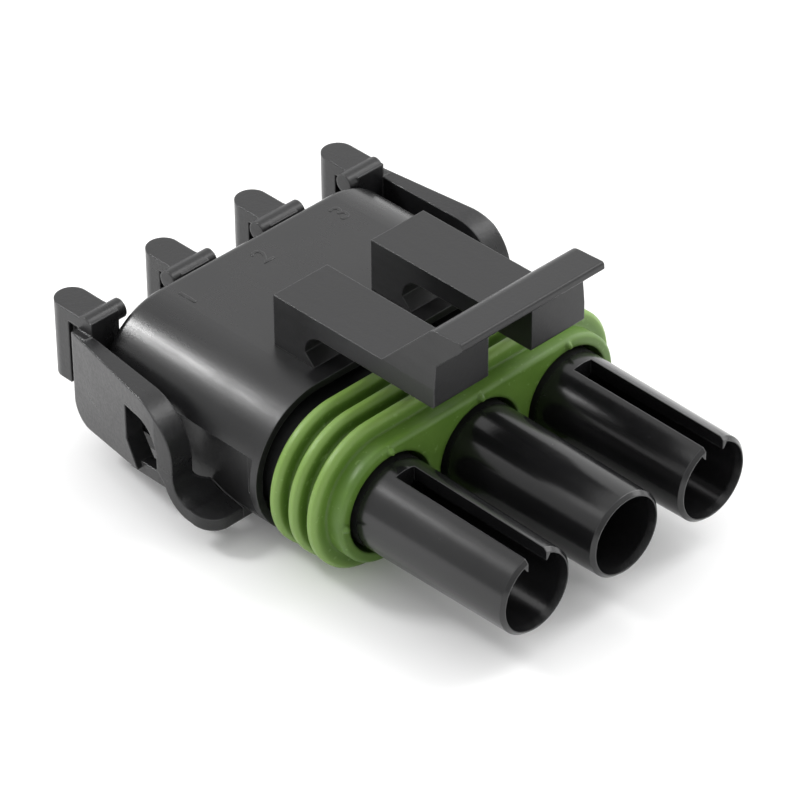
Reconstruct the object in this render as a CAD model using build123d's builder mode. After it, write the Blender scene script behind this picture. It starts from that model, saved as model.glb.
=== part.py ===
from build123d import *
import os

# Three-way sealed connector, tower half. A black moulded housing carries three hollow towers in a row,
# a green silicone seal slides over the towers, a two-legged latch stands on top, and a comb-shaped
# secondary lock is hinged at both sides and closes behind the rear cavities.
# X runs along the row of towers, the towers point to -Y, and +Z is up. The origin is on the surface
# the connector rests on, under the middle of its length and width.

os.makedirs("parts", exist_ok=True)

# Driving dimensions in millimetres. A station is a distance behind the front face of the seal.
pitch = 8.0
way_count = 3

# Housing block
body_width = 26.3
body_height = 11.0
body_length = 15.05
rear_round = 0.6
rim_wall = 0.55
rim_length = 0.6
recess_depth = 1.5

# Towers and the passages behind them
tower_length = 12.85
tower_base_radius = 3.25
tower_tip_radius = 3.05
tip_chamfer = 0.25
tower_bore_radius = 2.6
tower_bore_end = 3.0
bore_lead = 0.15
bore_lead_length = 0.5
throat_radius = 1.75
cavity_radius = 2.7
cavity_depth = 9.5
cavity_lead = 0.25

# Index grooves along the first and last tower
groove_radius = 0.8
groove_height = 2.95
groove_wall = 0.4
groove_end_gap = 1.3

# Seal
seal_length = 5.95
seal_core_height = 8.7
seal_core_width = 24.7
seal_rib_depth = 1.08
seal_rib_width = 0.85
seal_rib_bevel = 0.24
seal_rib_count = 3
seal_rib_pitch = 1.68
first_rib_station = 1.8
seal_face_bevel = 0.2
seal_hole_clearance = 0.35
seal_to_rim = 1.0
seal_boss_inset = 0.25
nub_radius = 0.28
nub_height = 0.3
nub_draft = 25

# Flat sides of the block, where the arms of the secondary lock lie
side_recess = 0.75
ledge_height = 1.85
wedge_height = 0.8
wedge_length = 1.9
wedge_rear_station = 17.8
wedge_top = 1.3
wedge_bottom = -1.0

# Latch: two legs, two arms and a lip that leans forward
latch_width = 13.4
latch_gap = 3.9
latch_rear_station = 11.9
leg_depth = 2.85
leg_flare = 0.85
latch_height = 3.9
arm_plate = 1.45
arch_round = 1.5
foot_overhang = 2.6
lip_reach = 2.0
lip_rise = 4.1
lip_tilt = 0.15
lip_root_rise = 1.7
lip_thickness = 2.1
lip_crest_round = 0.9
lip_edge_round = 0.2
lip_end_slant = 0.4
foot_round = 0.2

# Secondary lock: comb, side arms and curled hinge straps
lock_clearance = 0.3
comb_wall = 1.35
comb_top = 5.05
comb_bottom_gap = 0.1
comb_corner = 6.5
notch_radius = 2.8
finger_reach = 3.05
finger_width = 2.35
finger_side = 0.95
finger_web = 1.5
finger_foot = -0.7
finger_cap = 0.85
bar_radius = 0.7
bar_length = 3.8
bar_drop = 0.5

# The arms flare outwards from the comb to their front ends
arm_half_width_front = 15.4
arm_half_width_rear = 13.75
arm_inner_rear = 13.1
flare_end_station = 14.0
arm_top_rear = 4.1
arm_top_front = 3.5
arm_front_station = 12.4
arm_front_round = 3.65
arm_bottom_front = -2.4
arm_bottom_rear = -2.85
arm_rear_round = 1.6
window_rear_station = 17.4
window_front_station = 13.85
window_top = 2.1
window_round = 2.0
window_slant_height = -0.6
window_slant = 1.2
window_bar_front = 12.4
window_bar_height = -2.55
window_bar_thickness = 0.9
window_bar_inset = 0.9
strap_width = 1.75
strap_inner_radius = 1.65
strap_thickness = 0.85
strap_turn_height = -1.0
strap_end_station = 9.0
strap_end_round = 1.6
strap_round_share = 0.95
strap_end_drop = 0.3
strap_clearance = 0.1
strap_widens_station = 12.0
strap_meets_arm = 20
hinge_lug_clearance = 0.05
lug_root = 1.5
lug_rear_station = 12.0
lug_rise = 0.45

# Stations and heights that follow from the sizes above
axis_height = body_height / 2
rim_station = seal_length + seal_to_rim
floor_station = rim_station + recess_depth
rear_station = rim_station + body_length
seal_hole_radius = tower_base_radius + seal_hole_clearance
comb_station = rear_station + lock_clearance
comb_rear_station = comb_station + comb_wall
finger_station = comb_rear_station + finger_reach
face_y = (tower_length - finger_station) / 2
way_places = [pitch * (i - (way_count - 1) / 2) for i in range(way_count)]
finger_places = [pitch * (i - way_count / 2) for i in range(way_count + 1)]
side_half_width = body_width / 2 - side_recess
wedge_crest = side_half_width + wedge_height
finger_side_station = finger_station - finger_width / 2 - finger_side
strap_inner = side_half_width + strap_clearance
strap_inner_front = arm_half_width_front - strap_width
window_bar_outer = arm_half_width_front - window_bar_inset
strap_outer_radius = strap_inner_radius + strap_thickness
strap_turn_station = arm_front_station - strap_inner_radius
strap_end_top = strap_turn_height - strap_inner_radius - strap_end_drop
strap_end_bottom = strap_end_top - strap_thickness
strap_round_limit = strap_round_share * (arm_half_width_front - strap_inner)


def section(station):
    """The upright plane across the row at a station; extruding goes towards the tower tips."""
    return Plane.XZ.offset(-(face_y + station))


def side_point(station, height):
    """A point of a side view: distance along Y, and height above the tower axes."""
    return (face_y + station, axis_height + height)


def reaches(edge, distance):
    """Whether an edge comes as far as a distance above or below the tower axes."""
    box = edge.bounding_box()
    return max(box.max.Z - axis_height, axis_height - box.min.Z) > distance - 0.01


def way_axis(x):
    """The centre line of one way."""
    return Axis((x, 0, axis_height), (0, 1, 0))


# Housing: block, towers, passages and lock wedges in one moulding
with BuildPart() as housing:
    with BuildSketch(section(rear_station)):
        with Locations((0, axis_height)):
            SlotOverall(body_width, body_height)
    extrude(amount=body_length)
    fillet(housing.faces().sort_by(Axis.Y)[-1].edges(), rear_round)

    # Flat recessed sides below the ledges, leaving the front rim whole
    with BuildSketch(section(rear_station)):
        side_cut_height = axis_height + ledge_height
        for side in (-1, 1):
            with Locations((side * (side_half_width + side_recess), side_cut_height / 2)):
                Rectangle(2 * side_recess, side_cut_height)
    extrude(amount=body_length - rim_length, mode=Mode.SUBTRACT)

    # Recess inside the front rim, round the boss that the seal sits against
    with BuildSketch(section(floor_station)):
        with Locations((0, axis_height)):
            SlotOverall(body_width - 2 * rim_wall, body_height - 2 * rim_wall)
            SlotOverall(seal_core_width - 2 * seal_boss_inset, seal_core_height - 2 * seal_boss_inset,
                        mode=Mode.SUBTRACT)
    extrude(amount=recess_depth, mode=Mode.SUBTRACT)
    with BuildSketch(section(floor_station)):
        with Locations((0, axis_height)):
            SlotOverall(seal_core_width - 2 * seal_boss_inset, seal_core_height - 2 * seal_boss_inset)
    extrude(amount=floor_station - seal_length)

    # Towers, with a slight taper to their chamfered tips
    for x in way_places:
        with BuildSketch(Plane.XY.offset(axis_height)):
            with BuildLine():
                Polyline(
                    (x, face_y + floor_station),
                    (x + tower_base_radius, face_y + floor_station),
                    (x + tower_base_radius, face_y),
                    (x + tower_tip_radius, face_y - tower_length + tip_chamfer),
                    (x + tower_tip_radius - tip_chamfer, face_y - tower_length),
                    (x, face_y - tower_length),
                    close=True,
                )
            make_face()
        revolve(axis=way_axis(x))

    # Passages: tower bore, throat and rear cavity on one axis
    for x in way_places:
        with BuildSketch(Plane.XY.offset(axis_height)):
            with BuildLine():
                Polyline(
                    (x, face_y - tower_length),
                    (x + tower_bore_radius + bore_lead, face_y - tower_length),
                    (x + tower_bore_radius, face_y - tower_length + bore_lead_length),
                    (x + tower_bore_radius, face_y + tower_bore_end),
                    (x + throat_radius, face_y + tower_bore_end),
                    (x + throat_radius, face_y + rear_station - cavity_depth),
                    (x + cavity_radius, face_y + rear_station - cavity_depth),
                    (x + cavity_radius, face_y + rear_station - cavity_lead),
                    (x + cavity_radius + cavity_lead, face_y + rear_station),
                    (x, face_y + rear_station),
                    close=True,
                )
            make_face()
        revolve(axis=way_axis(x), mode=Mode.SUBTRACT)

    # Index grooves, each with a round wall that stands into the bore
    for x in (way_places[0], way_places[-1]):
        with BuildSketch(section(-groove_end_gap + groove_wall)):
            with Locations((x, axis_height + groove_height)):
                Circle(groove_radius + groove_wall)
            with Locations((x, axis_height)):
                Circle(tower_bore_radius + groove_wall / 2, mode=Mode.INTERSECT)
        extrude(amount=tower_length - groove_end_gap + groove_wall)
        with BuildSketch(section(-groove_end_gap)):
            with Locations((x, axis_height + groove_height)):
                SlotCenterToCenter(2 * groove_radius, 2 * groove_radius, rotation=90)
        extrude(amount=tower_length, mode=Mode.SUBTRACT)

    # Wedges that the windows of the lock's arms hang on
    for side in (-1, 1):
        with BuildSketch(Plane.XY.offset(axis_height + wedge_bottom)):
            with BuildLine():
                Polyline(
                    (side * (side_half_width - wedge_height), face_y + wedge_rear_station),
                    (side * wedge_crest, face_y + wedge_rear_station),
                    (side * wedge_crest, face_y + wedge_rear_station - wedge_length / 2),
                    (side * side_half_width, face_y + wedge_rear_station - wedge_length),
                    (side * (side_half_width - wedge_height), face_y + wedge_rear_station - wedge_length),
                    close=True,
                )
            make_face()
        extrude(amount=wedge_top - wedge_bottom)

    # Lugs low on the sides that the hinge straps of the lock end at
    for side in (-1, 1):
        lug_end = side * (strap_inner - hinge_lug_clearance)
        lug_start = side * (side_half_width - lug_root)
        with BuildSketch(Plane.YZ.offset(min(lug_start, lug_end))):
            with BuildLine():
                Polyline(
                    side_point(strap_end_station, strap_end_top),
                    side_point(strap_end_station, strap_end_bottom),
                    side_point(strap_turn_station, strap_end_bottom + strap_end_drop),
                    side_point(lug_rear_station, strap_end_bottom + strap_end_drop + lug_rise),
                    side_point(lug_rear_station, strap_end_top + strap_end_drop + lug_rise),
                    side_point(strap_turn_station, strap_end_top + strap_end_drop),
                    close=True,
                )
            make_face()
        extrude(amount=abs(lug_end - lug_start))

housing.part.label = "housing"
export_step(housing.part, "parts/housing.step")

# Perimeter seal: a block with one hole for each tower, three rounded ribs and small nubs on its face
with BuildPart() as perimeter_seal:
    with BuildSketch(section(seal_length)):
        with Locations((0, axis_height)):
            SlotOverall(seal_core_width, seal_core_height)
    extrude(amount=seal_length)
    chamfer(perimeter_seal.faces().sort_by(Axis.Y)[0].edges(), seal_face_bevel)
    for rib in range(seal_rib_count):
        rib_station = first_rib_station + rib * seal_rib_pitch
        with BuildSketch(section(rib_station + seal_rib_width / 2)):
            with Locations((0, axis_height)):
                SlotOverall(seal_core_width + 2 * seal_rib_depth, seal_core_height + 2 * seal_rib_depth)
        extrude(amount=seal_rib_width)
        crest = seal_core_height / 2 + seal_rib_depth
        chamfer([e for e in perimeter_seal.edges(Select.LAST) if reaches(e, crest)], seal_rib_bevel)
    with BuildSketch(section(seal_length)):
        for x in way_places:
            with Locations((x, axis_height)):
                Circle(seal_hole_radius)
    extrude(amount=seal_length, mode=Mode.SUBTRACT)
    with BuildSketch(section(0)):
        for side in (-1, 1):
            for x in way_places:
                with Locations((x, axis_height + side * (seal_hole_radius + seal_core_height / 2) / 2)):
                    Circle(nub_radius)
            last_hole_edge = way_places[-1] + seal_hole_radius
            with Locations((side * (last_hole_edge + seal_core_width / 2) / 2, axis_height)):
                Circle(nub_radius)
    extrude(amount=nub_height, taper=nub_draft)

perimeter_seal.part.label = "perimeter_seal"
export_step(perimeter_seal.part, "parts/perimeter_seal.step")

# Latch: two arms on legs behind an open arch, joined in front by the leaning lip
with BuildPart() as latch:
    arm_top = body_height / 2 + latch_height
    arm_under = arm_top - arm_plate
    leg_front = latch_rear_station - leg_depth
    latch_front = -foot_overhang
    lip_root = arm_top + lip_root_rise
    for side in (-1, 1):
        inner_face = side * latch_gap / 2
        outer_face = side * latch_width / 2
        with BuildSketch(Plane.YZ.offset(min(inner_face, outer_face))) as arm_side:
            with BuildLine():
                Polyline(
                    side_point(latch_rear_station, body_height / 2),
                    side_point(latch_rear_station, arm_top),
                    side_point(latch_front + lip_root_rise, arm_top),
                    side_point(latch_front, lip_root),
                    side_point(latch_front, arm_under),
                    side_point(leg_front, arm_under),
                    side_point(leg_front, body_height / 2 + leg_flare),
                    side_point(leg_front - leg_flare, body_height / 2),
                    close=True,
                )
            make_face()
            arch_corner = side_point(leg_front, arm_under)
            fillet(arm_side.vertices().sort_by_distance(arch_corner)[0], arch_round)
            foot_corner = side_point(latch_front, arm_under)
            fillet(arm_side.vertices().sort_by_distance(foot_corner)[0], foot_round)
        extrude(amount=(latch_width - latch_gap) / 2)

    # The lip is a plank at 45 degrees that ends in a flat thumb edge
    lip_foot = latch_front + lip_root_rise + lip_thickness * 2**0.5
    lip_front = latch_front - lip_reach
    lip_crest = arm_top + lip_rise
    with BuildSketch(Plane.YZ.offset(-latch_width / 2)) as lip_side:
        with BuildLine():
            Polyline(
                side_point(lip_foot, arm_top),
                side_point(lip_foot - lip_rise, lip_crest),
                side_point(lip_front, lip_crest + lip_tilt),
                side_point(lip_front, lip_root + lip_reach),
                side_point(latch_front, lip_root),
                side_point(latch_front + lip_root_rise, arm_top),
                close=True,
            )
        make_face()
        crest_corner = side_point(lip_foot - lip_rise, lip_crest)
        fillet(lip_side.vertices().sort_by_distance(crest_corner)[0], lip_crest_round)
        fillet(lip_side.vertices().group_by(Axis.X)[0], lip_edge_round)
    extrude(amount=latch_width)

    # The ends of the lip lean inwards towards its crest
    with BuildSketch(section(latch_rear_station)):
        for side in (-1, 1):
            with BuildLine():
                Polyline(
                    (side * latch_width / 2, axis_height + arm_top),
                    (side * (latch_width / 2 - lip_end_slant), axis_height + lip_crest + lip_tilt),
                    (side * latch_width / 2, axis_height + lip_crest + lip_tilt),
                    close=True,
                )
            make_face()
    extrude(amount=latch_rear_station - lip_front, mode=Mode.SUBTRACT)

latch.part.label = "latch"
export_step(latch.part, "parts/latch.step")

# Secondary lock: side arms with windows and curled hinge straps, comb wall, and fingers with cross bars
with BuildPart() as secondary_lock:
    for side in (-1, 1):
        # Side outline of an arm and its strap, open downwards where the window is
        with BuildSketch(Plane.YZ.offset(min(side * strap_inner, side * arm_half_width_front))) as arm_side:
            turn_centre = side_point(strap_turn_station, strap_turn_height)
            with BuildLine():
                Polyline(
                    side_point(window_rear_station - window_slant, arm_bottom_front),
                    side_point(comb_rear_station, arm_bottom_rear),
                    side_point(comb_rear_station, arm_top_rear),
                    side_point(arm_front_station, arm_top_front),
                    side_point(arm_front_station, strap_turn_height),
                )
                CenterArc(turn_centre, strap_inner_radius, 0, -90)
                Polyline(
                    side_point(strap_turn_station, strap_turn_height - strap_inner_radius),
                    side_point(strap_end_station, strap_end_top),
                    side_point(strap_end_station, strap_end_bottom),
                    side_point(strap_turn_station, strap_turn_height - strap_outer_radius),
                )
                outer_turn = CenterArc(turn_centre, strap_outer_radius, -90, 90 - strap_meets_arm)
                Polyline(
                    outer_turn @ 1,
                    side_point(window_front_station, strap_turn_height),
                    side_point(window_front_station, window_top),
                    side_point(window_rear_station, window_top),
                    side_point(window_rear_station, window_slant_height),
                    side_point(window_rear_station - window_slant, arm_bottom_front),
                )
            make_face()
            for station, height, radius in (
                (comb_rear_station, arm_bottom_rear, arm_rear_round),
                (arm_front_station, arm_top_front, arm_front_round),
                (window_front_station, window_top, window_round),
            ):
                corner = arm_side.vertices().sort_by_distance(side_point(station, height))[0]
                fillet(corner, radius)
        extrude(amount=arm_half_width_front - strap_inner)

    # Plan outline that the arms keep to
    with BuildSketch() as arm_plan:
        for side in (-1, 1):
            with BuildLine():
                Polyline(
                    (side * strap_inner, face_y + strap_end_station),
                    (side * arm_half_width_front, face_y + strap_end_station),
                    (side * arm_half_width_front, face_y + flare_end_station),
                    (side * arm_half_width_rear, face_y + comb_rear_station),
                    (side * arm_inner_rear, face_y + comb_rear_station),
                    (side * arm_inner_rear, face_y + rear_station),
                    (side * strap_inner_front, face_y + window_front_station),
                    (side * strap_inner_front, face_y + arm_front_station),
                    (side * strap_inner, face_y + strap_widens_station),
                    close=True,
                )
            make_face()
            strap_corner = (side * arm_half_width_front, face_y + strap_end_station)
            corner = arm_plan.vertices().sort_by_distance(strap_corner)[0]
            fillet(corner, min(strap_end_round, strap_round_limit))
    extrude(amount=body_height, mode=Mode.INTERSECT)

    # A bar set back from the arm's face closes each window from below
    for side in (-1, 1):
        with BuildSketch(Plane.YZ.offset(min(side * strap_inner_front, side * window_bar_outer))):
            with Locations(side_point((window_bar_front + window_rear_station) / 2, window_bar_height)):
                Rectangle(window_rear_station - window_bar_front, window_bar_thickness)
        extrude(amount=window_bar_outer - strap_inner_front)

    comb_bottom = comb_bottom_gap - axis_height
    finger_end = finger_places[-1] + finger_width / 2
    with BuildSketch(section(comb_rear_station)) as comb_face:
        with Locations((0, axis_height + (arm_top_rear + comb_bottom) / 2)):
            Rectangle(2 * arm_half_width_rear, arm_top_rear - comb_bottom)
        fillet(comb_face.vertices().group_by(Axis.Y)[0], comb_corner)
        with Locations((0, axis_height + comb_top / 2)):
            Rectangle(2 * finger_end, comb_top)
        for x in way_places:
            with Locations((x, axis_height)):
                Circle(notch_radius, mode=Mode.SUBTRACT)
            with Locations((x, axis_height + comb_top)):
                Rectangle(2 * notch_radius, 2 * comb_top, mode=Mode.SUBTRACT)
    extrude(amount=comb_wall)

    for x in finger_places:
        # Upright web that ends in a column with a round rear, and a cap on top as wide as the column
        for foot, front_station in (
            (finger_foot, finger_side_station),
            (comb_top - finger_cap, comb_station),
        ):
            with BuildSketch(Plane.XY.offset(axis_height + foot)):
                with Locations((x, face_y + (comb_rear_station + finger_side_station) / 2)):
                    Rectangle(finger_web, finger_side_station - comb_rear_station)
                with Locations((x, face_y + (front_station + finger_station - finger_width / 2) / 2)):
                    Rectangle(finger_width, finger_station - finger_width / 2 - front_station)
                with Locations((x, face_y + finger_station - finger_width / 2)):
                    Circle(finger_width / 2)
            extrude(amount=comb_top - foot)
        # Cross bar along the front of the finger's top, which ends where the comb's top does
        bar_start = max(x - bar_length / 2, -finger_end)
        bar_end = min(x + bar_length / 2, finger_end)
        with BuildSketch(Plane.YZ.offset(bar_start)):
            with Locations(side_point(comb_station + bar_radius, comb_top - bar_drop)):
                Circle(bar_radius)
        extrude(amount=bar_end - bar_start)

secondary_lock.part.label = "secondary_lock"
export_step(secondary_lock.part, "parts/secondary_lock.step")
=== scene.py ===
from math import cos, radians, sin

import bpy
from mathutils import Matrix, Vector


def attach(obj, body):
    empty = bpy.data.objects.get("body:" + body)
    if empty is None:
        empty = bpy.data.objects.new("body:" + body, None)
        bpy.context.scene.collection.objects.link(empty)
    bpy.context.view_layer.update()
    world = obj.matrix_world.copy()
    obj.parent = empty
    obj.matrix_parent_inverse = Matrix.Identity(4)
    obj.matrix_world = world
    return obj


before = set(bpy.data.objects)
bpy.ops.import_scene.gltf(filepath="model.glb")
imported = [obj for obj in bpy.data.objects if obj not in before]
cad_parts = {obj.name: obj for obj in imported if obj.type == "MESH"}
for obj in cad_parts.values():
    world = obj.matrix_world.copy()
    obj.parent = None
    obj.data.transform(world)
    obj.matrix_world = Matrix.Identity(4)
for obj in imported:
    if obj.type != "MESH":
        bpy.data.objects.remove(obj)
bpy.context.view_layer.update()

MM = 0.001

# Places in the frame that the materials and the added pieces use. A station is a distance behind the
# front face of the seal. Half of the seal's outline is straight over SEAL_STRAIGHT, and round beyond it;
# the crest range below is how far out from there the ribs begin to be painted paler, a painted highlight
# for the light on the crests, and where they are palest.
SEAL_FACE_Y = -6.925 * MM
AXIS_HEIGHT = 5.5 * MM
BLOCK_FLAT_TOP = 2 * AXIS_HEIGHT
SEAL_STRAIGHT = 8.0 * MM
SEAL_CREST_HIGHLIGHT = (4.75 * MM, 5.4 * MM)

# Camera, fitted to the photograph
CAMERA_PLACE = Vector((-175.614, -180.491, 192.456)) * MM
CAMERA_AZIMUTH = radians(-44.150)
CAMERA_ELEVATION = radians(36.564)
CAMERA_ROLL = radians(-0.525)
CAMERA_LENS = 217.9
CAMERA_CLIP = 0.01
SENSOR = 36.0

WHITE = (1.0, 1.0, 1.0)

# Noises: cells per metre, detail and roughness
NYLON_CLOUD = (260.0, 4.0, 0.55)
NYLON_FINE = (9000.0, 2.0, 0.6)
NYLON_GRAIN = (4200.0, 3.0, 0.65)
NYLON_SPECKS = (2600.0, 1.0, 0.5)
NYLON_DRAG = (2200.0, 4.0, 0.6)
SILICONE_CLOUD = (320.0, 4.0, 0.6)
SILICONE_GRAIN = (5200.0, 3.0, 0.6)
SILICONE_SPECKS = (2400.0, 1.0, 0.5)

# The parts of a noise's range that are stretched to a whole one
MOST = (0.3, 0.7)
MIDDLE = (0.35, 0.65)
NYLON_SPECK_RANGE = (0.72, 0.78)
SILICONE_SPECK_RANGE = (0.68, 0.74)

# Edges: how far the rounded normal turns from a face to an edge, which is painted paler as a highlight and
# made glossier, as a cosine
EDGE_RANGE = (0.995, 0.85)
BEVEL_SAMPLES = 6

# Nylon: what is shared by the housing, the latch and the lock
DRAG_SCALE = (1.0, 0.05, 1.0)
# Painted highlight: the paler tone painted on edges, and how much of it shows where the cloud is low and
# where it is high
EDGE_HIGHLIGHT_TONE = (0.090, 0.090, 0.092)
EDGE_HIGHLIGHT_SHARE = (0.25, 0.8)
DUST_GAIN = 2.2
DUST_SHARE = 0.2
FINE_ROUGHNESS = 0.012
DRAG_ROUGHNESS = 0.035
DUST_ROUGHNESS = 0.05
EDGE_GLOSS = 0.08
NYLON_BUMP = 0.55
TOWER_FADE = 0.4 * MM

# Painted sheen: the outer side faces of the lock's arms are painted paler for the light they catch, fading
# out in front, over the hinge straps
SIDE_SHEEN_TONE = (0.052, 0.051, 0.052)
SIDE_SHEEN_STEP = 0.1 * MM
SIDE_SHEEN_FACING = (0.80, 0.95)
SIDE_SHEEN_FADE = (SEAL_FACE_Y + 12.4 * MM, SEAL_FACE_Y + 15.6 * MM)
SIDE_SHEEN_GRAIN = (0.3, 1.0)

# Silicone
SILICONE_TONES = ((0.079, 0.162, 0.020), (0.104, 0.198, 0.030))
# Painted highlight: the paler tone painted on the rib crests, and how much of it shows at most
SILICONE_CREST_HIGHLIGHT_TONE = (0.26, 0.41, 0.098)
SILICONE_CREST_HIGHLIGHT_SHARE = 0.6
SILICONE_DUST_TONE = (0.30, 0.45, 0.16)
SILICONE_DUST_SHARE = 0.25
SILICONE_ROUGHNESS = (0.36, 0.46)
SILICONE_GRAIN_ROUGHNESS = 0.04
SILICONE_INDEX = 1.46
SILICONE_EDGE_RADIUS = 0.34 * MM
SILICONE_GRAIN_DEPTH = 0.012 * MM
SILICONE_BUMP = 0.5
SUBSURFACE_WEIGHT = 0.12
SUBSURFACE_RADIUS = (0.6, 1.0, 0.25)
SUBSURFACE_SCALE = 0.5 * MM


def new_material(name):
    """A material with nothing in its node tree but its Principled shader and output."""
    material = bpy.data.materials.new(name)
    material.use_nodes = True
    tree = material.node_tree
    shader = next(n for n in tree.nodes if n.type == "BSDF_PRINCIPLED")
    return material, tree, shader


def noise(tree, coordinates, scale, detail, roughness):
    """Noise on the coordinates; the scale is in cells per metre."""
    node = tree.nodes.new("ShaderNodeTexNoise")
    node.inputs["Scale"].default_value = scale
    node.inputs["Detail"].default_value = detail
    node.inputs["Roughness"].default_value = roughness
    tree.links.new(coordinates, node.inputs["Vector"])
    return node.outputs["Fac"]


def ramp(tree, value, low, high, low_to=0.0, high_to=1.0):
    """Map a value from one range to another, held at its ends."""
    node = tree.nodes.new("ShaderNodeMapRange")
    node.clamp = True
    node.inputs["From Min"].default_value = low
    node.inputs["From Max"].default_value = high
    node.inputs["To Min"].default_value = low_to
    node.inputs["To Max"].default_value = high_to
    tree.links.new(value, node.inputs["Value"])
    return node.outputs["Result"]


def arithmetic(tree, operation, first, second):
    """A Math node; either side may be a socket or a number."""
    node = tree.nodes.new("ShaderNodeMath")
    node.operation = operation
    for socket, value in zip(node.inputs, (first, second)):
        if isinstance(value, (int, float)):
            socket.default_value = value
        else:
            tree.links.new(value, socket)
    return node.outputs[0]


def add(tree, first, second):
    return arithmetic(tree, "ADD", first, second)


def subtract(tree, first, second):
    return arithmetic(tree, "SUBTRACT", first, second)


def multiply(tree, first, second):
    return arithmetic(tree, "MULTIPLY", first, second)


def size_of(tree, value):
    """A value without its sign."""
    return arithmetic(tree, "ABSOLUTE", value, 0.0)


def axes_of(tree, vector):
    """The X, Y and Z of a vector, by name."""
    node = tree.nodes.new("ShaderNodeSeparateXYZ")
    tree.links.new(vector, node.inputs["Vector"])
    return node.outputs


def blend_colour(tree, factor, first, second):
    """Mix two colours; each is an RGB triple or a socket."""
    node = tree.nodes.new("ShaderNodeMix")
    node.data_type = "RGBA"
    tree.links.new(factor, node.inputs["Factor"])
    for name, value in (("A", first), ("B", second)):
        socket = next(s for s in node.inputs if s.name == name and s.type == "RGBA")
        if isinstance(value, tuple):
            socket.default_value = (*value, 1.0)
        else:
            tree.links.new(value, socket)
    return next(s for s in node.outputs if s.type == "RGBA")


def bump(tree, height, distance, strength, normal):
    """A Bump node on a height in the range 0 to 1, with its depth in metres."""
    node = tree.nodes.new("ShaderNodeBump")
    node.inputs["Strength"].default_value = strength
    node.inputs["Distance"].default_value = distance
    tree.links.new(height, node.inputs["Height"])
    tree.links.new(normal, node.inputs["Normal"])
    return node.outputs["Normal"]


def edge_rounding(tree, radius):
    """Normals that turn softly over each sharp edge."""
    node = tree.nodes.new("ShaderNodeBevel")
    node.samples = BEVEL_SAMPLES
    node.inputs["Radius"].default_value = radius
    return node.outputs["Normal"]


def edge_mask(tree, rounded):
    """Where the rounded normal leaves the face's own one: 0 on faces, rising to 1 on edges."""
    geometry = tree.nodes.new("ShaderNodeNewGeometry")
    dot = tree.nodes.new("ShaderNodeVectorMath")
    dot.operation = "DOT_PRODUCT"
    tree.links.new(rounded, dot.inputs[0])
    tree.links.new(geometry.outputs["Normal"], dot.inputs[1])
    return ramp(tree, dot.outputs["Value"], *EDGE_RANGE)


def object_space(tree):
    return tree.nodes.new("ShaderNodeTexCoord").outputs["Object"]


def scuff_mask(tree, axes, grain, sheen_from):
    """Where the outer side faces are painted paler as a sheen, for light they catch: past a distance from the
    middle, behind the hinge straps, broken up by the grain.
    """
    outside = ramp(tree, size_of(tree, axes["X"]), sheen_from, sheen_from + SIDE_SHEEN_STEP)
    geometry = tree.nodes.new("ShaderNodeNewGeometry")
    facing = axes_of(tree, geometry.outputs["True Normal"])
    sideways = ramp(tree, size_of(tree, facing["X"]), *SIDE_SHEEN_FACING)
    sheened = multiply(tree, outside, sideways)
    behind_strap = ramp(tree, axes["Y"], *SIDE_SHEEN_FADE)
    sheened = multiply(tree, sheened, behind_strap)
    return multiply(tree, sheened, ramp(tree, grain, *MOST, *SIDE_SHEEN_GRAIN))


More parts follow.
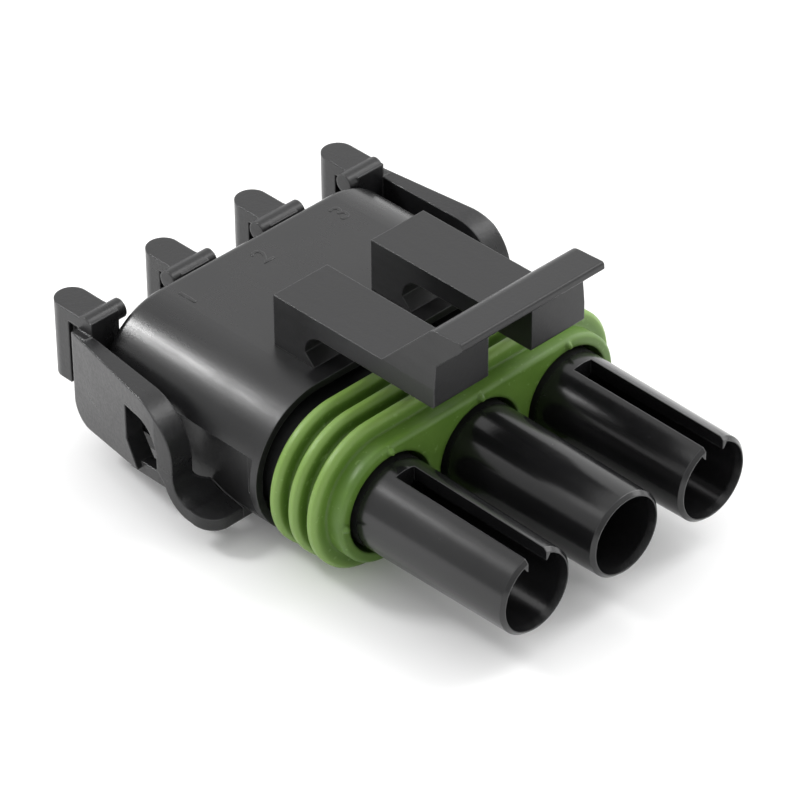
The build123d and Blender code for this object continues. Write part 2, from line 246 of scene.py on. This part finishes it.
def nylon(name, tones, grain_depth, roughness, index, edge_radius, finish=None, sheen_from=None):
    """Black moulded nylon: moulded grain, slow changes of gloss, drag marks along Y, edges painted paler as a
    highlight, and dust.
    tones and roughness are ranges, index is the index of refraction and edge_radius that of the shaded edges.
    finish names the Y places where the towers end and where the block begins and ends, and the roughness
    of the towers, the block's front and its rear. The last argument is the X past which outer side faces are
    painted paler, as a painted sheen."""
    material, tree, shader = new_material(name)
    place = object_space(tree)
    rounded = edge_rounding(tree, edge_radius)
    edges = edge_mask(tree, rounded)
    axes = axes_of(tree, place)

    cloud = noise(tree, place, *NYLON_CLOUD)
    fine = noise(tree, place, *NYLON_FINE)
    grain = noise(tree, place, *NYLON_GRAIN)
    specks = ramp(tree, noise(tree, place, *NYLON_SPECKS), *NYLON_SPECK_RANGE)
    along = tree.nodes.new("ShaderNodeMapping")
    along.inputs["Scale"].default_value = DRAG_SCALE
    tree.links.new(place, along.inputs["Vector"])
    drag = noise(tree, along.outputs["Vector"], *NYLON_DRAG)

    deep, pale = tones
    mottle = multiply(tree, ramp(tree, cloud, *MIDDLE), ramp(tree, grain, *MOST))
    tone = blend_colour(tree, mottle, deep, pale)
    # Painted highlight: the edges are painted paler, broken up by the cloud
    edge_highlight = multiply(tree, edges, ramp(tree, cloud, *MOST, *EDGE_HIGHLIGHT_SHARE))
    tone = blend_colour(tree, edge_highlight, tone, EDGE_HIGHLIGHT_TONE)
    dusty = tuple(DUST_GAIN * c for c in pale)
    tone = blend_colour(tree, multiply(tree, specks, DUST_SHARE), tone, dusty)
    # Painted sheen: the outer side faces of the arms are painted paler, for the light they catch
    if sheen_from is not None:
        tone = blend_colour(tree, scuff_mask(tree, axes, grain, sheen_from), tone, SIDE_SHEEN_TONE)
    tree.links.new(tone, shader.inputs["Base Color"])

    low, high = roughness
    rough = ramp(tree, cloud, *MOST, low, high)
    if finish is not None:
        (tower_end, block_start, block_end), (tower_rough, front_rough, rear_rough) = finish
        shift = ramp(tree, axes["Y"], block_start, block_end, front_rough - low, rear_rough - low)
        rough = add(tree, rough, shift)
        on_towers = ramp(tree, axes["Y"], tower_end, tower_end - TOWER_FADE, 0.0, tower_rough - front_rough)
        rough = add(tree, rough, on_towers)
    rough = add(tree, rough, ramp(tree, fine, *MOST, -FINE_ROUGHNESS, FINE_ROUGHNESS))
    rough = add(tree, rough, ramp(tree, drag, *MOST, -DRAG_ROUGHNESS, DRAG_ROUGHNESS))
    rough = add(tree, rough, multiply(tree, specks, DUST_ROUGHNESS))
    rough = subtract(tree, rough, multiply(tree, edges, EDGE_GLOSS))
    tree.links.new(rough, shader.inputs["Roughness"])
    shader.inputs["IOR"].default_value = index

    normal = bump(tree, grain, grain_depth, NYLON_BUMP, rounded)
    tree.links.new(normal, shader.inputs["Normal"])
    return material


def seal_core_distance(tree, axes):
    """The distance, across the row, from the line that the seal's stadium outline is drawn round."""
    aside = subtract(tree, size_of(tree, axes["X"]), SEAL_STRAIGHT)
    aside = arithmetic(tree, "MAXIMUM", aside, 0.0)
    above = subtract(tree, axes["Z"], AXIS_HEIGHT)
    square = add(tree, multiply(tree, aside, aside), multiply(tree, above, above))
    return arithmetic(tree, "POWER", square, 0.5)


def silicone():
    """Green silicone: softly matte, slightly see-through, with rib crests painted paler as a highlight, and
    fine dust.
    """
    material, tree, shader = new_material("green_silicone")
    place = object_space(tree)
    rounded = edge_rounding(tree, SILICONE_EDGE_RADIUS)
    cloud = noise(tree, place, *SILICONE_CLOUD)
    grain = noise(tree, place, *SILICONE_GRAIN)
    specks = ramp(tree, noise(tree, place, *SILICONE_SPECKS), *SILICONE_SPECK_RANGE)

    tone = blend_colour(tree, ramp(tree, cloud, *MOST), *SILICONE_TONES)
    # Painted highlight: the rib crests are painted paler, for the light that falls on them
    out = seal_core_distance(tree, axes_of(tree, place))
    crest_highlight = ramp(tree, out, *SEAL_CREST_HIGHLIGHT, 0.0, SILICONE_CREST_HIGHLIGHT_SHARE)
    tone = blend_colour(tree, crest_highlight, tone, SILICONE_CREST_HIGHLIGHT_TONE)
    tone = blend_colour(tree, multiply(tree, specks, SILICONE_DUST_SHARE), tone, SILICONE_DUST_TONE)
    tree.links.new(tone, shader.inputs["Base Color"])

    slow = ramp(tree, cloud, *MOST, *SILICONE_ROUGHNESS)
    rough = add(tree, slow, ramp(tree, grain, *MOST, -SILICONE_GRAIN_ROUGHNESS, SILICONE_GRAIN_ROUGHNESS))
    tree.links.new(rough, shader.inputs["Roughness"])
    shader.inputs["IOR"].default_value = SILICONE_INDEX
    shader.inputs["Subsurface Weight"].default_value = SUBSURFACE_WEIGHT
    shader.inputs["Subsurface Radius"].default_value = SUBSURFACE_RADIUS
    shader.inputs["Subsurface Scale"].default_value = SUBSURFACE_SCALE
    normal = bump(tree, grain, SILICONE_GRAIN_DEPTH, SILICONE_BUMP, rounded)
    tree.links.new(normal, shader.inputs["Normal"])
    return material


def dress(node, material):
    """Give a CAD node its material in every slot."""
    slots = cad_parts[node].data.materials
    slots.clear()
    slots.append(material)


# Finish of the housing along its length: glossy towers, and a block that is matte in front and glossier
# towards its rear
BLOCK_START = SEAL_FACE_Y + 7.0 * MM
BLOCK_END = SEAL_FACE_Y + 21.5 * MM
TOWER_ROUGHNESS = 0.17
BLOCK_FRONT_ROUGHNESS = 0.36
BLOCK_REAR_ROUGHNESS = 0.22

housing_nylon = nylon(
    "housing_nylon",
    tones=((0.0075, 0.0075, 0.008), (0.011, 0.011, 0.0115)),
    grain_depth=0.005 * MM,
    roughness=(0.24, 0.30),
    index=1.52,
    edge_radius=0.10 * MM,
    finish=(
        (SEAL_FACE_Y, BLOCK_START, BLOCK_END),
        (TOWER_ROUGHNESS, BLOCK_FRONT_ROUGHNESS, BLOCK_REAR_ROUGHNESS),
    ),
)
latch_nylon = nylon(
    "latch_nylon",
    tones=((0.009, 0.009, 0.0095), (0.012, 0.012, 0.013)),
    grain_depth=0.013 * MM,
    roughness=(0.32, 0.40),
    index=1.47,
    edge_radius=0.12 * MM,
)
lock_nylon = nylon(
    "lock_nylon",
    tones=((0.009, 0.009, 0.0095), (0.013, 0.013, 0.014)),
    grain_depth=0.026 * MM,
    roughness=(0.27, 0.36),
    index=1.46,
    edge_radius=0.18 * MM,
    sheen_from=13.6 * MM,
)
dress("housing", housing_nylon)
dress("perimeter_seal", silicone())
dress("latch", latch_nylon)
dress("secondary_lock", lock_nylon)

# In the solids the recess inside the rim breaks through each flat side of the block, where the photograph
# shows a closed wall. One small piece on each side closes it. Lengths and stations are in millimetres.
WALL_INNER = 12.25
WALL_OUTER = 12.395
WALL_STATIONS = (7.3, 7.545, 8.5)
WALL_HALF_HEIGHT = 1.5
WALL_STEPS = 12
RIM_ARC_CENTRE = 7.65
RIM_ARC_RADIUS = 5.0


def side_wall(name, side):
    """The wall behind the rim: it follows the rim's inside in front, and lies in the flat side behind."""
    front, step, rear = (SEAL_FACE_Y + station * MM for station in WALL_STATIONS)
    corners = []
    for i in range(WALL_STEPS + 1):
        height = WALL_HALF_HEIGHT * (2 * i / WALL_STEPS - 1)
        in_rim = RIM_ARC_CENTRE + (RIM_ARC_RADIUS**2 - height**2) ** 0.5
        outline = (
            (WALL_INNER, front),
            (in_rim, front),
            (in_rim, step),
            (WALL_OUTER, step),
            (WALL_OUTER, rear),
            (WALL_INNER, rear),
        )
        corners += [(side * x * MM, y, AXIS_HEIGHT + height * MM) for x, y in outline]
    count = len(outline)
    faces = [tuple(range(count)), tuple(range(len(corners) - count, len(corners)))[::-1]]
    for start in range(0, len(corners) - count, count):
        for i in range(count):
            j = (i + 1) % count
            faces.append((start + j, start + i, start + i + count, start + j + count))
    if side > 0:
        faces = [face[::-1] for face in faces]
    mesh = bpy.data.meshes.new(name)
    mesh.from_pydata(corners, [], faces)
    mesh.materials.append(housing_nylon)
    item = bpy.data.objects.new(name, mesh)
    bpy.context.scene.collection.objects.link(item)
    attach(item, "body")


side_wall("side_wall_left", -1)
side_wall("side_wall_right", 1)

# Raised way numbers on the block's top, near its rear edge: the X of each and the station of all, in mm
NUMBER_XS = (-7.1, -0.5, 6.6)
NUMBER_STATION = 19.6
NUMBER_SIZE = 2.2 * MM
NUMBER_RISE = 0.018 * MM
NUMBER_BEVEL = 0.012 * MM


def way_number(count, x):
    """One plain raised figure, read from the tower side."""
    curve = bpy.data.curves.new(f"way_number_{count}", "FONT")
    curve.body = str(count)
    curve.size = NUMBER_SIZE
    curve.extrude = NUMBER_RISE
    curve.bevel_depth = NUMBER_BEVEL
    curve.align_x = "CENTER"
    curve.align_y = "CENTER"
    text = bpy.data.objects.new(f"way_number_{count}", curve)
    text.location = (x * MM, SEAL_FACE_Y + NUMBER_STATION * MM, BLOCK_FLAT_TOP)
    bpy.context.scene.collection.objects.link(text)
    curve.materials.append(housing_nylon)
    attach(text, "body")


for count, x in enumerate(NUMBER_XS, 1):
    way_number(count, x)

# Stage: a pale floor that keeps the soft shadow and glows a little to the camera
FLOOR_HALF_WIDTH = 6.0
FLOOR_COLOUR = (0.92, 0.92, 0.92)
FLOOR_GLOW = 0.06


def floor():
    """The floor; its glow reaches only what sees it straight, in a gloss or through a clear piece."""
    mesh = bpy.data.meshes.new("floor")
    half = FLOOR_HALF_WIDTH
    corners = [(-half, -half, 0), (half, -half, 0), (half, half, 0), (-half, half, 0)]
    mesh.from_pydata(corners, [], [(0, 1, 2, 3)])
    item = bpy.data.objects.new("floor", mesh)
    bpy.context.scene.collection.objects.link(item)
    material = bpy.data.materials.new("floor_white")
    material.use_nodes = True
    tree = material.node_tree
    tree.nodes.clear()
    output = tree.nodes.new("ShaderNodeOutputMaterial")
    diffuse = tree.nodes.new("ShaderNodeBsdfDiffuse")
    diffuse.inputs["Color"].default_value = (*FLOOR_COLOUR, 1.0)
    glow = tree.nodes.new("ShaderNodeEmission")
    glow.inputs["Color"].default_value = (*WHITE, 1.0)
    rays = tree.nodes.new("ShaderNodeLightPath")
    seen = add(tree, rays.outputs["Is Camera Ray"], rays.outputs["Is Glossy Ray"])
    seen = add(tree, seen, rays.outputs["Is Transmission Ray"])
    tree.links.new(multiply(tree, seen, FLOOR_GLOW), glow.inputs["Strength"])
    both = tree.nodes.new("ShaderNodeAddShader")
    tree.links.new(diffuse.outputs[0], both.inputs[0])
    tree.links.new(glow.outputs[0], both.inputs[1])
    tree.links.new(both.outputs[0], output.inputs["Surface"])
    mesh.materials.append(material)


floor()

# The world: its level rises from one side to the other
BRIGHT_SIDE = (0.80, 0.30, 0.45)
SURROUND_RANGE = (-0.6, 0.9)
SURROUND_LEVELS = (0.66, 1.25)


def surround():
    """A world that is brighter to the right and shows at least white to the camera."""
    world = bpy.data.worlds.new("surround")
    bpy.context.scene.world = world
    world.use_nodes = True
    tree = world.node_tree
    background = next(n for n in tree.nodes if n.type == "BACKGROUND")
    background.inputs["Color"].default_value = (*WHITE, 1.0)
    towards = tree.nodes.new("ShaderNodeTexCoord").outputs["Generated"]
    dot = tree.nodes.new("ShaderNodeVectorMath")
    dot.operation = "DOT_PRODUCT"
    dot.inputs[1].default_value = Vector(BRIGHT_SIDE).normalized()
    tree.links.new(towards, dot.inputs[0])
    level = ramp(tree, dot.outputs["Value"], *SURROUND_RANGE, *SURROUND_LEVELS)
    rays = tree.nodes.new("ShaderNodeLightPath")
    seen = arithmetic(tree, "MAXIMUM", rays.outputs["Is Camera Ray"], rays.outputs["Is Transmission Ray"])
    tree.links.new(arithmetic(tree, "MAXIMUM", seen, level), background.inputs["Strength"])


surround()

# Lamps: name, target, direction from the target, distance, size and power. The small key stands near the
# block's rear left shoulder, so that its highlight fades towards the towers, and the far one softens it.
SHOULDER = Vector((-11.0, 14.6, 9.95)) * MM
MIDDLE_OF_WAYS = Vector((0, 0, AXIS_HEIGHT))
SOFTBOXES = (
    ("key_softbox", SHOULDER, (-0.394, 0.576, 0.716), 0.10, (0.020, 0.020), 0.044),
    ("far_softbox", SHOULDER, (-0.36, 0.590, 0.72), 0.70, (0.30, 0.30), 0.22),
    ("top_softbox", MIDDLE_OF_WAYS, (0.50, -0.25, 0.83), 0.70, (0.28, 0.22), 0.85),
    ("side_softbox", MIDDLE_OF_WAYS, (0.85, -0.10, 0.45), 0.70, (0.60, 0.50), 2.0),
)


def softbox(name, target, direction, distance, size, power):
    """An area lamp that faces a target from a direction and isn't seen by the camera."""
    lamp = bpy.data.lights.new(name, "AREA")
    lamp.shape = "RECTANGLE"
    lamp.size, lamp.size_y = size
    lamp.energy = power
    item = bpy.data.objects.new(name, lamp)
    away = Vector(direction).normalized()
    item.location = target + away * distance
    item.rotation_mode = "QUATERNION"
    item.rotation_quaternion = away.to_track_quat("Z", "Y")
    item.visible_camera = False
    bpy.context.scene.collection.objects.link(item)


for lamp_values in SOFTBOXES:
    softbox(*lamp_values)


def camera():
    """The camera at its fitted place, turned by its azimuth, elevation and roll."""
    data = bpy.data.cameras.new("camera")
    data.lens = CAMERA_LENS
    data.sensor_width = SENSOR
    data.sensor_fit = "HORIZONTAL"
    data.clip_start = CAMERA_CLIP
    item = bpy.data.objects.new("camera", data)
    level = cos(CAMERA_ELEVATION)
    back = Vector((sin(CAMERA_AZIMUTH) * level, -cos(CAMERA_AZIMUTH) * level, sin(CAMERA_ELEVATION)))
    right = Vector((cos(CAMERA_AZIMUTH), sin(CAMERA_AZIMUTH), 0))
    up = back.cross(right)
    turn, lean = cos(CAMERA_ROLL), sin(CAMERA_ROLL)
    right, up = turn * right + lean * up, turn * up - lean * right
    pose = Matrix((right, up, back)).transposed().to_4x4()
    pose.translation = CAMERA_PLACE
    item.matrix_world = pose
    bpy.context.scene.collection.objects.link(item)
    bpy.context.scene.camera = item


camera()
bpy.context.scene.view_settings.view_transform = "Standard"
